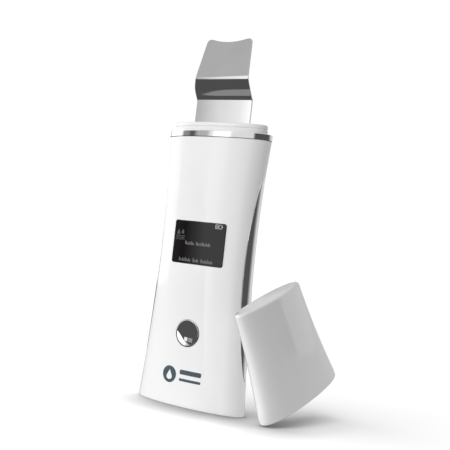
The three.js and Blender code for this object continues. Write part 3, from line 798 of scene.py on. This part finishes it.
def charge_socket():
    """Charging inlet: rolled metal shell with a contact tongue."""
    back, front = low("charge_socket").y, high("charge_socket").y
    z = middle("charge_socket").z
    outer, mouth, lip = (4.5, 1.6, 1.5), (4.15, 1.25, 1.15), 0.12
    rings = []

    def ring(size, inset, y):
        outline = rounded_rectangle(size[0] - inset, size[1] - inset, size[2] - inset, (0, z), 8)
        rings.append(upright(outline, y))

    ring(outer, 0, back)
    for along, inwards in quarter(lip):
        ring(outer, inwards, front - lip + along)
    ring(mouth, 0, front - 0.05)
    ring(mouth, 0, back + 1.2)
    shell = soften(loft("socket_shell", rings, len(rings) - 1))
    tongue = thick_skin(
        "tongue", [resample(rounded_rectangle(3.2, 2.6, 0.4, (0, 0)), 0.8)], 1.0,
        lambda flat: (
            np.column_stack([flat[:, 0], back + 3.9 + flat[:, 1], np.full(len(flat), z + 0.32)]),
            np.tile([0.0, 0.0, 1.0], (len(flat), 1)),
        ), 0.64, 0.08, 0.08,
    )
    return shell, tongue


# ---------------- protective cap

CAP_HEIGHT = 48.1
CAP_TOP_HALF_WIDTH = 21.9
CAP_TOP_HALF_DEPTH = 7.1
CAP_WALL = 1.7
CAP_LIP = 3.0             # straight part at the mouth
CAP_CROWN = 1.5           # radius round the top
CAP_DOME = 0.25           # rise of the top's middle
CAP_MOUTH = (46.5, 16.1, 10.1)
CAP_TURN = math.radians(-101)         # about its own axis, then tilted towards CAP_LEAN
CAP_TILT = math.radians(25)
CAP_LEAN = math.radians(228)


def cap_section(z, inset):
    """The cap's outline at a height above its mouth."""
    rise = min(max((z - CAP_LIP) / (CAP_HEIGHT - CAP_LIP), 0), 1)
    width = TOP_HALF_WIDTH + (CAP_TOP_HALF_WIDTH - TOP_HALF_WIDTH) * (1 - (1 - rise) ** 2)
    depth = HALF_DEPTH + (CAP_TOP_HALF_DEPTH - HALF_DEPTH) * rise ** 1.5
    return oval(width - inset, depth - inset)


def cap():
    """The cap, upright with its mouth at z = 0, then turned to lean beside the handset."""
    edge = 0.5
    shoulder = CAP_HEIGHT - CAP_DOME - CAP_CROWN
    rings = []
    for along, inwards in reversed(quarter(edge)):
        rings.append(level(cap_section(0, inwards), edge - along))
    rings += [level(cap_section(z, 0), z) for z in np.linspace(1.5, shoulder, 30)]
    for along, inwards in quarter(CAP_CROWN, 7)[1:]:
        rings.append(level(cap_section(CAP_HEIGHT, inwards), shoulder + along))
    for share in (0.97, 0.8, 0.6, 0.4, 0.2, 0.06):
        outline = cap_section(CAP_HEIGHT, CAP_CROWN) * share
        rings.append(level(outline, CAP_HEIGHT - 0.2 * share ** 2))
    last_outside = len(rings) - 1
    roof = CAP_HEIGHT - CAP_WALL
    rings += [level(cap_section(roof, CAP_WALL) * share, roof) for share in (0.08, 0.5, 0.9)]
    rings += [level(cap_section(z, CAP_WALL), z) for z in np.linspace(roof - 1, 1, 16)]
    rings.append(level(cap_section(0, CAP_WALL - 0.3), 0))
    made = loft("cap_cover", rings, last_outside)
    tilt = Quaternion((-math.sin(CAP_LEAN), math.cos(CAP_LEAN), 0), CAP_TILT)
    turn = Quaternion((0, 0, 1), CAP_TURN)
    made.data.transform((tilt @ turn).to_matrix().to_4x4())
    made.data.transform(Matrix.Translation(Vector(CAP_MOUTH) * MM))
    return soften(made, 40)


# ---------------- materials

class Graph:
    """Shader nodes of a material or a world. Each method adds a node and returns its output."""

    def __init__(self, tree):
        self.nodes, self.links = tree.nodes, tree.links

    def put(self, value, socket):
        """Links an output to a socket, or sets a plain value on it."""
        if isinstance(value, bpy.types.NodeSocket):
            self.links.new(value, socket)
        elif socket.type == "RGBA":
            socket.default_value = (value, value, value, 1)
        else:
            socket.default_value = value

    def node(self, kind, **inputs):
        made = self.nodes.new("ShaderNode" + kind)
        for name, value in inputs.items():
            self.put(value, made.inputs[name.replace("_", " ")])
        return made

    def noise(self, scale, detail=2.0, stretch=(1, 1, 1), roughness=0.5):
        """Noise in object space, in cycles per metre before stretching."""
        place = self.node("TexCoord").outputs["Object"]
        vector = self.node("Mapping", Vector=place, Scale=stretch).outputs["Vector"]
        made = self.node("TexNoise", Vector=vector, Scale=scale, Detail=detail, Roughness=roughness)
        return made.outputs["Fac"]

    def span(self, value, start, end, low_in=0.3, high_in=0.7):
        """Maps noise onto a range of values."""
        limits = {"From_Min": low_in, "From_Max": high_in, "To_Min": start, "To_Max": end}
        return self.node("MapRange", Value=value, **limits).outputs["Result"]

    def step(self, value, start, end):
        """Smooth rise from 0 at start to 1 at end."""
        made = self.node("MapRange", Value=value, From_Min=start, From_Max=end)
        made.interpolation_type = "SMOOTHSTEP"
        return made.outputs["Result"]

    def fall(self, value, start, end):
        """Smooth fall from 1 at start to 0 at end."""
        return self.math("SUBTRACT", 1.0, self.step(value, start, end))

    def math(self, operation, *values):
        made = self.nodes.new("ShaderNodeMath")
        made.operation = operation
        for socket, value in zip(made.inputs, values):
            self.put(value, socket)
        return made.outputs[0]

    def mix(self, factor, first, second):
        """Blends two colours or greys."""
        made = self.nodes.new("ShaderNodeMix")
        made.data_type = "RGBA"
        for socket, value in zip((made.inputs[0], made.inputs[6], made.inputs[7]), (factor, first, second)):
            self.put(value, socket)
        return made.outputs[2]

    def ramp(self, value, stops):
        """Colours at positions from 0 to 1 of a value."""
        made = self.node("ValToRGB", Fac=value)
        elements = made.color_ramp.elements
        while len(elements) < len(stops):
            elements.new(0.5)
        for element, (position, colour) in zip(elements, stops):
            element.position = position
            element.color = (*colour, 1)
        return made.outputs["Color"]


def shader(name, **sockets):
    """A material with its Principled shader's own sockets set."""
    made = bpy.data.materials.new(name)
    made.use_nodes = True
    for socket, value in sockets.items():
        made.node_tree.nodes["Principled BSDF"].inputs[socket.replace("_", " ")].default_value = value
    return made


def surface_detail(made, colours, roughness, colour_scale, grain_scale, bump, stretch=(1, 1, 1)):
    """Colour that drifts a little, roughness that varies with a fine grain, and the grain as bump."""
    graph = Graph(made.node_tree)
    principled = graph.nodes["Principled BSDF"]
    drift = graph.noise(colour_scale)
    grain = graph.noise(grain_scale, 3.0, stretch, 0.6)
    graph.put(graph.ramp(drift, list(zip((0.3, 0.7), colours))), principled.inputs["Base Color"])
    graph.put(graph.span(grain, *roughness), principled.inputs["Roughness"])
    if bump:
        relief = graph.node("Bump", Strength=bump[0], Distance=bump[1] * MM, Height=grain)
        graph.put(relief.outputs["Normal"], principled.inputs["Normal"])
    return made


GLOSSY = {"Coat_Weight": 1.0, "Coat_IOR": 1.5}
INK = {"Coat_Weight": 0.6, "Coat_IOR": 1.5, "Coat_Roughness": 0.05}
METAL = {"Metallic": 1.0}
INK_LOOK = ((0.4, 0.55), 600, 5000, (0.05, 0.005))
MOULDED = (60, 2600, (0.15, 0.02))
MILLED = ((0.25, 0.4), 120, 2500, (0.1, 0.01))
# The shader's own sockets, and the surface detail.
FINISHES = {
    "white_plastic": (
        {**GLOSSY, "Coat_Roughness": 0.03, "IOR": 1.46},
        ((0.80, 0.80, 0.805), (0.83, 0.83, 0.833)), (0.42, 0.52), 30, 2600, (0.04, 0.02),
    ),
    "cap_plastic": (
        {**GLOSSY, "Coat_Roughness": 0.02, "IOR": 1.46},
        ((0.78, 0.78, 0.785), (0.81, 0.81, 0.813)), (0.4, 0.5), 35, 2600, (0.03, 0.02),
    ),
    "chrome": (METAL, ((0.80, 0.805, 0.815), (0.84, 0.843, 0.85)), (0.01, 0.025), 60, 3000, None),
    "polished_steel": (
        METAL, ((0.76, 0.76, 0.765), (0.80, 0.80, 0.803)), (0.02, 0.05), 80, 900, (0.04, 0.004),
        (1, 1, 0.03),
    ),
    "display_glass": (
        {**GLOSSY, "Coat_Roughness": 0.0, "Specular_IOR_Level": 0.0},
        ((0.0055, 0.0042, 0.0047), (0.0075, 0.006, 0.0066)), (0.25, 0.35), 40, 2500, None,
    ),
    "black_plastic": ({}, ((0.012, 0.012, 0.013), (0.02, 0.02, 0.022)), (0.45, 0.6), *MOULDED),
    "silicone": ({}, ((0.74, 0.74, 0.73), (0.79, 0.79, 0.78)), (0.55, 0.7), *MOULDED),
    "foam": ({}, ((0.06, 0.06, 0.065), (0.12, 0.12, 0.125)), (0.9, 1.0), 60, 1500, (0.8, 0.2)),
    "circuit_board": ({}, ((0.008, 0.09, 0.04), (0.015, 0.13, 0.06)), (0.3, 0.45), *MOULDED),
    "ceramic": ({}, ((0.74, 0.70, 0.6), (0.82, 0.79, 0.7)), (0.6, 0.75), *MOULDED),
    "aluminium": (METAL, ((0.7, 0.71, 0.73), (0.78, 0.79, 0.8)), *MILLED),
    "battery_foil": (METAL, ((0.5, 0.52, 0.55), (0.6, 0.62, 0.65)), (0.35, 0.5), *MILLED[1:]),
    "copper": (METAL, ((0.72, 0.4, 0.22), (0.8, 0.48, 0.28)), *MILLED),
    "red_wire": ({}, ((0.42, 0.02, 0.016), (0.5, 0.03, 0.022)), (0.4, 0.5), *MOULDED),
    "black_wire": ({}, ((0.008, 0.008, 0.009), (0.014, 0.014, 0.015)), (0.4, 0.5), *MOULDED),
    "slate_ink": (INK, ((0.042, 0.068, 0.088), (0.052, 0.083, 0.106)), *INK_LOOK),
    "bright_pixels": (INK, ((0.20, 0.20, 0.21), (0.26, 0.26, 0.27)), *INK_LOOK),
    "pale_pixels": (INK, ((0.46, 0.46, 0.47), (0.54, 0.54, 0.55)), *INK_LOOK),
    "dim_pixels": (INK, ((0.06, 0.068, 0.066), (0.08, 0.09, 0.088)), *INK_LOOK),
}
materials = {
    name: surface_detail(shader(name, **sockets), *look) for name, (sockets, *look) in FINISHES.items()
}


# ---------------- assembly

def dress(made, material, *stands_for, body="handset", slot=None):
    """Gives a piece its material and body, and hides the CAD nodes it stands for.

    The slot argument is not used. Polished parts mirror the studio alone.
    """
    slot = slot or material
    made.visible_glossy = False
    made.data.materials.clear()
    made.data.materials.append(materials[material])
    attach(made, body)
    if stands_for:
        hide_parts(*stands_for)


dress(front_housing(), "white_plastic", "front_housing")
dress(rear_housing(), "white_plastic", "rear_housing")
dress(side_trim("trim_right", 1), "chrome", "side_trim_right")
dress(side_trim("trim_left", -1), "chrome", "side_trim_left")
dress(chrome_ring(), "chrome", "chrome_ring")
dress(collar(), "white_plastic", "collar")
dress(blade_seal(), "silicone", "blade_seal")
dress(blade(), "polished_steel", "blade")
dress(display_window(), "display_glass", "display_window")
dress(display_text(), "bright_pixels", slot="display_glass")
dress(battery_symbol(), "pale_pixels", slot="display_glass")
dress(mode_symbol(), "dim_pixels", slot="display_glass")
dress(printed_mark(), "slate_ink", slot="black_plastic")
dress(mode_button(), "chrome", "mode_button", body="button")
for number, (x, z) in enumerate(screw_centres(), 1):
    dress(case_screw(f"case_screw_{number}", x, z), "polished_steel", f"housing_screw_{number}")
socket_shell, socket_tongue = charge_socket()
dress(socket_shell, "polished_steel", "charge_socket")
dress(socket_tongue, "black_plastic")
dress(cap(), "cap_plastic", "cap_shell", body="cap", slot="white_plastic")

for part in frame["record"]["subparts"]:
    node = frame["nodes"][part["node"]]
    node.data.materials.clear()
    node.data.materials.append(materials[part["material_slot"]])


# ---------------- studio

# What polished parts mirror, by compass direction: degrees from -Y towards +X, and the tone seen in chrome.
SURROUNDINGS = [
    (-180, 202), (-157, 206), (-156, 90), (-146, 90), (-144, 255), (-122, 240), (-108, 210), (-100, 226),
    (-90, 255), (-62, 255), (-57, 136), (-51, 132), (-48, 84), (-45, 86), (-41, 172), (-34.2, 174),
    (-33.3, 190), (-32.4, 220), (-31.8, 233), (-30.1, 236), (-29.5, 255), (-19, 255), (-15, 221), (14, 214),
    (19.5, 77), (100, 78), (104, 90), (105, 134), (121, 135), (123, 180), (150, 212), (180, 202),
]
# The same a little above them, where one panel ends in a slanting edge.
HIGH_SURROUNDINGS = [
    (-180, 205), (-165, 210), (-148, 195), (-128, 120), (-122, 210), (-108, 210), (-100, 226), (-90, 255),
    (-62, 255), (-57, 240), (-30.1, 240), (-29.5, 255), (-19, 255), (-15, 221), (14, 214), (19.5, 77),
    (125, 77), (126, 240), (150, 245), (170, 220), (180, 205),
]
HIGH_FROM = 11            # degrees above the horizon
SLANTED_PANEL = 175       # tone of that panel
# Narrow cards at the height of the display's mirror image.
LOW_CARDS = [(-180, 150), (-34.1, 150), (-34.0, 77), (-33.1, 77), (-32.8, 235), (180, 235)]
# Height in degrees below which the floor's dark side is mirrored, by compass direction.
GLOOM_LINE = [(-180, -3), (-61, -3), (-60, 5), (-41, 5), (-28.5, 1.6), (-16, -10), (180, -10)]
# Upper edge of a grey card that lies on the dark side, the same way.
PATCH_TOP = [
    (-180, -60), (-56, -60), (-50.7, -45.4), (-44.5, -39.9), (-41.3, -36.3), (-38.8, -33.8), (-28, -34.4),
    (-27, -60), (180, -60),
]
PATCH = 135               # its tone
GLOOM = 0.09              # brightness of the dark side
MIRROR = 0.82             # how much of it chrome gives back
AMBIENT = 0.55            # light from all round, which halves overhead
BACKDROP = 1.02
BOUNCE = 0.15             # light that the pale floor throws back up
BOUNCE_SIZE = 0.36


def mirrored_tone(seen):
    """Light that chrome shows as a tone from 0 to 255. Panels that clip to white are brighter still."""
    share = seen / 255
    light = share / 12.92 if share <= 0.04045 else ((share + 0.055) / 1.055) ** 2.4
    return light / MIRROR * (1.25 if seen == 255 else 1)


class Surroundings(Graph):
    """The world's nodes, with the direction that a ray looks in, in degrees."""

    def __init__(self, tree):
        super().__init__(tree)
        split = self.node("SeparateXYZ", Vector=self.node("TexCoord").outputs["Generated"])
        x, y, z = split.outputs
        turn = self.math("ARCTAN2", x, self.math("MULTIPLY", y, -1.0))
        self.degrees = self.math("MULTIPLY", turn, 180 / math.pi)
        self.rise = self.math("MULTIPLY", self.math("ARCSINE", z), 180 / math.pi)
        self.turn = self.math("ADD", self.math("DIVIDE", turn, 2 * math.pi), 0.5)

    def tones(self, stops, level_of=None):
        """Light or another grey by compass direction."""
        level_of = level_of or mirrored_tone
        return self.ramp(self.turn, [((a + 180) / 360, [level_of(value)] * 3) for a, value in stops])

    def edge(self, stops, lowest, reach):
        """A height by compass direction."""
        grey = self.tones(stops, lambda height: (height - lowest) / reach)
        return self.math("MULTIPLY_ADD", grey, reach, lowest)

    def both(self, first, *others):
        """Where all of several masks hold."""
        for other in others:
            first = self.math("MULTIPLY", first, other)
        return first

    def panels(self):
        """Bright panels and dark gaps at eye level and above."""
        slant = self.math("SUBTRACT", self.degrees, self.math("MULTIPLY", self.rise, 0.175))
        panel = self.both(self.fall(slant, -36.45, -36.15), self.step(self.degrees, -56, -52))
        high = self.mix(panel, self.tones(HIGH_SURROUNDINGS), mirrored_tone(SLANTED_PANEL))
        upwards = self.step(self.rise, HIGH_FROM - 0.2, HIGH_FROM + 0.2)
        seen = self.mix(upwards, self.tones(SURROUNDINGS), high)
        return self.mix(self.step(self.rise, 42, 60), seen, 1.0)

    def dark_side(self):
        """The dark side of the floor, with a grey card on it."""
        top = self.edge(PATCH_TOP, -60, 60)
        lower = self.math("MULTIPLY_ADD", self.degrees, 0.37, self.rise)
        card = self.both(
            self.step(self.math("SUBTRACT", top, self.rise), -0.3, 0.3),
            self.step(lower, -66.4, -65.8),
        )
        return self.mix(card, GLOOM, mirrored_tone(PATCH))

    def mirrored(self):
        """Everything that polished parts mirror."""
        line = self.edge(GLOOM_LINE, -20, 40)
        above = self.step(self.math("SUBTRACT", self.rise, line), -0.3, 0.3)
        seen = self.mix(above, self.dark_side(), self.panels())
        at_cards = self.both(
            self.step(self.rise, -2.7, -2.3), self.fall(self.rise, 1.3, 1.7),
            self.step(self.degrees, -41, -40), self.fall(self.degrees, -29, -28),
        )
        return self.mix(at_cards, seen, self.tones(LOW_CARDS))


def studio_world():
    """Even white light. Polished surfaces mirror panels and dark gaps that stand round the object."""
    world = bpy.data.worlds.new("studio")
    bpy.context.scene.world = world
    world.use_nodes = True
    around = Surroundings(world.node_tree)
    rays = around.node("LightPath")
    dome = around.mix(around.step(around.rise, 15, 75), AMBIENT, AMBIENT / 2)
    seen = around.mix(rays.outputs["Is Glossy Ray"], dome, around.mirrored())
    seen = around.mix(rays.outputs["Is Camera Ray"], seen, BACKDROP)
    around.put(seen, around.nodes["Background"].inputs["Color"])
    world.cycles.sampling_method = "NONE"


def put_light(name, light):
    """A light that polished parts don't mirror."""
    made = add_object(name, light)
    made.visible_glossy = False
    return made


def towards(azimuth, elevation):
    """Unit vector to a compass direction (degrees from -Y towards +X) and a height in degrees."""
    a, e = math.radians(azimuth), math.radians(elevation)
    return Vector((math.sin(a) * math.cos(e), -math.cos(a) * math.cos(e), math.sin(e)))


def soft_sun(name, azimuth, elevation, strength, width):
    """Directional light from a compass direction and a height."""
    light = bpy.data.lights.new(name, "SUN")
    light.energy = strength
    light.angle = math.radians(width)
    made = put_light(name, light)
    made.rotation_mode = "QUATERNION"
    made.rotation_quaternion = towards(azimuth, elevation).to_track_quat("Z", "Y")
    return made


def floor_bounce():
    """Disc on the floor that shines up."""
    light = bpy.data.lights.new("floor_bounce", "AREA")
    light.shape = "DISK"
    light.size = BOUNCE_SIZE
    light.energy = BOUNCE * math.pi ** 2 * (BOUNCE_SIZE / 2) ** 2
    made = put_light("floor_bounce", light)
    made.rotation_euler = (math.pi, 0, 0)
    made.location = (0.01, -0.01, 0.0004)
    made.visible_camera = False


def floor():
    """Pale floor with a painted contact shadow, darker close to what stands on it."""
    half = 4e3
    corners = [(-half, -half, 0), (half, -half, 0), (half, half, 0), (-half, half, 0)]
    made = mesh_object("floor", corners, [(0, 1, 2, 3)])
    pale = shader("pale_floor", Specular_IOR_Level=0.0)
    surface_detail(pale, ((0.94, 0.94, 0.94), (0.96, 0.96, 0.96)), (0.7, 0.8), 6, 900, None)
    # painted contact shadow: the floor's colour is darkened near the handset and cap
    paint_contact_shadow(pale, 0.022)
    made.data.materials.append(pale)
    made.visible_glossy = False
    made.visible_diffuse = False
    return made


def paint_contact_shadow(material, reach):
    """Paints contact shadow into a floor's colour: darker within reach of what stands on it, most in front
    and to the right.
    """
    graph = Graph(material.node_tree)
    colour = graph.nodes["Principled BSDF"].inputs["Base Color"]
    plain = colour.links[0].from_socket
    # painted shade: ambient occlusion, leaned by this normal, scales the floor's colour down near what
    # stands on it
    facing = graph.node("CombineXYZ", X=-0.5, Y=0.55, Z=0.67).outputs[0]
    open_sky = graph.node("AmbientOcclusion", Distance=reach, Normal=facing).outputs["AO"]
    shaded_colour = graph.nodes.new("ShaderNodeVectorMath")
    shaded_colour.operation = "SCALE"
    graph.put(plain, shaded_colour.inputs[0])
    graph.put(graph.span(open_sky, 0.2, 1.0, 0.3, 0.97), shaded_colour.inputs["Scale"])
    graph.put(shaded_colour.outputs[0], colour)


def link_floor(ground, light, state):
    """Keeps a light on the floor alone, or off it. The object shades the floor either way."""
    linked = bpy.data.collections.new(light.name + "_floor")
    linked.objects.link(ground)
    linked.collection_objects[0].light_linking.link_state = state
    light.light_linking.receiver_collection = linked


def camera():
    """Viewpoint in front and to the right, a little above the handset's middle."""
    roll = math.radians(6.36)
    ahead = -towards(31.0, -1.037)
    right = ahead.cross(Vector((0, 0, 1))).normalized()
    up = right.cross(ahead)
    across = math.cos(roll) * right + math.sin(roll) * up
    upward = -math.sin(roll) * right + math.cos(roll) * up
    lens = bpy.data.cameras.new("camera")
    lens.lens = 64.77
    lens.sensor_width = 36
    lens.clip_start, lens.clip_end = 0.01, 20
    made = add_object("camera", lens)
    axes = Matrix((across, upward, -ahead)).transposed()
    made.matrix_world = Matrix.Translation((0.1974, -0.3152, 0.0766)) @ axes.to_4x4()
    bpy.context.scene.camera = made


# Compass direction, height, strength and width, and whether a light keeps to the floor or off it.
SUNS = {
    "floor_top": (-20, 64, 1.58, 75, "INCLUDE"),
    "floor_side": (-60, 35, 0.8, 50, "INCLUDE"),
    "back_fill": (-148, 8, 1.15, 24, "EXCLUDE"),
    "key": (-45, 5, 3.2, 60, "EXCLUDE"),
}

studio_world()
ground = floor()
for name, (*aim, state) in SUNS.items():
    link_floor(ground, soft_sun(name, *aim), state)
soft_sun("top", 0, 80, 0.3, 80)
floor_bounce()
camera()
bpy.context.scene.view_settings.view_transform = "Standard"

bpy.context.view_layer.update()
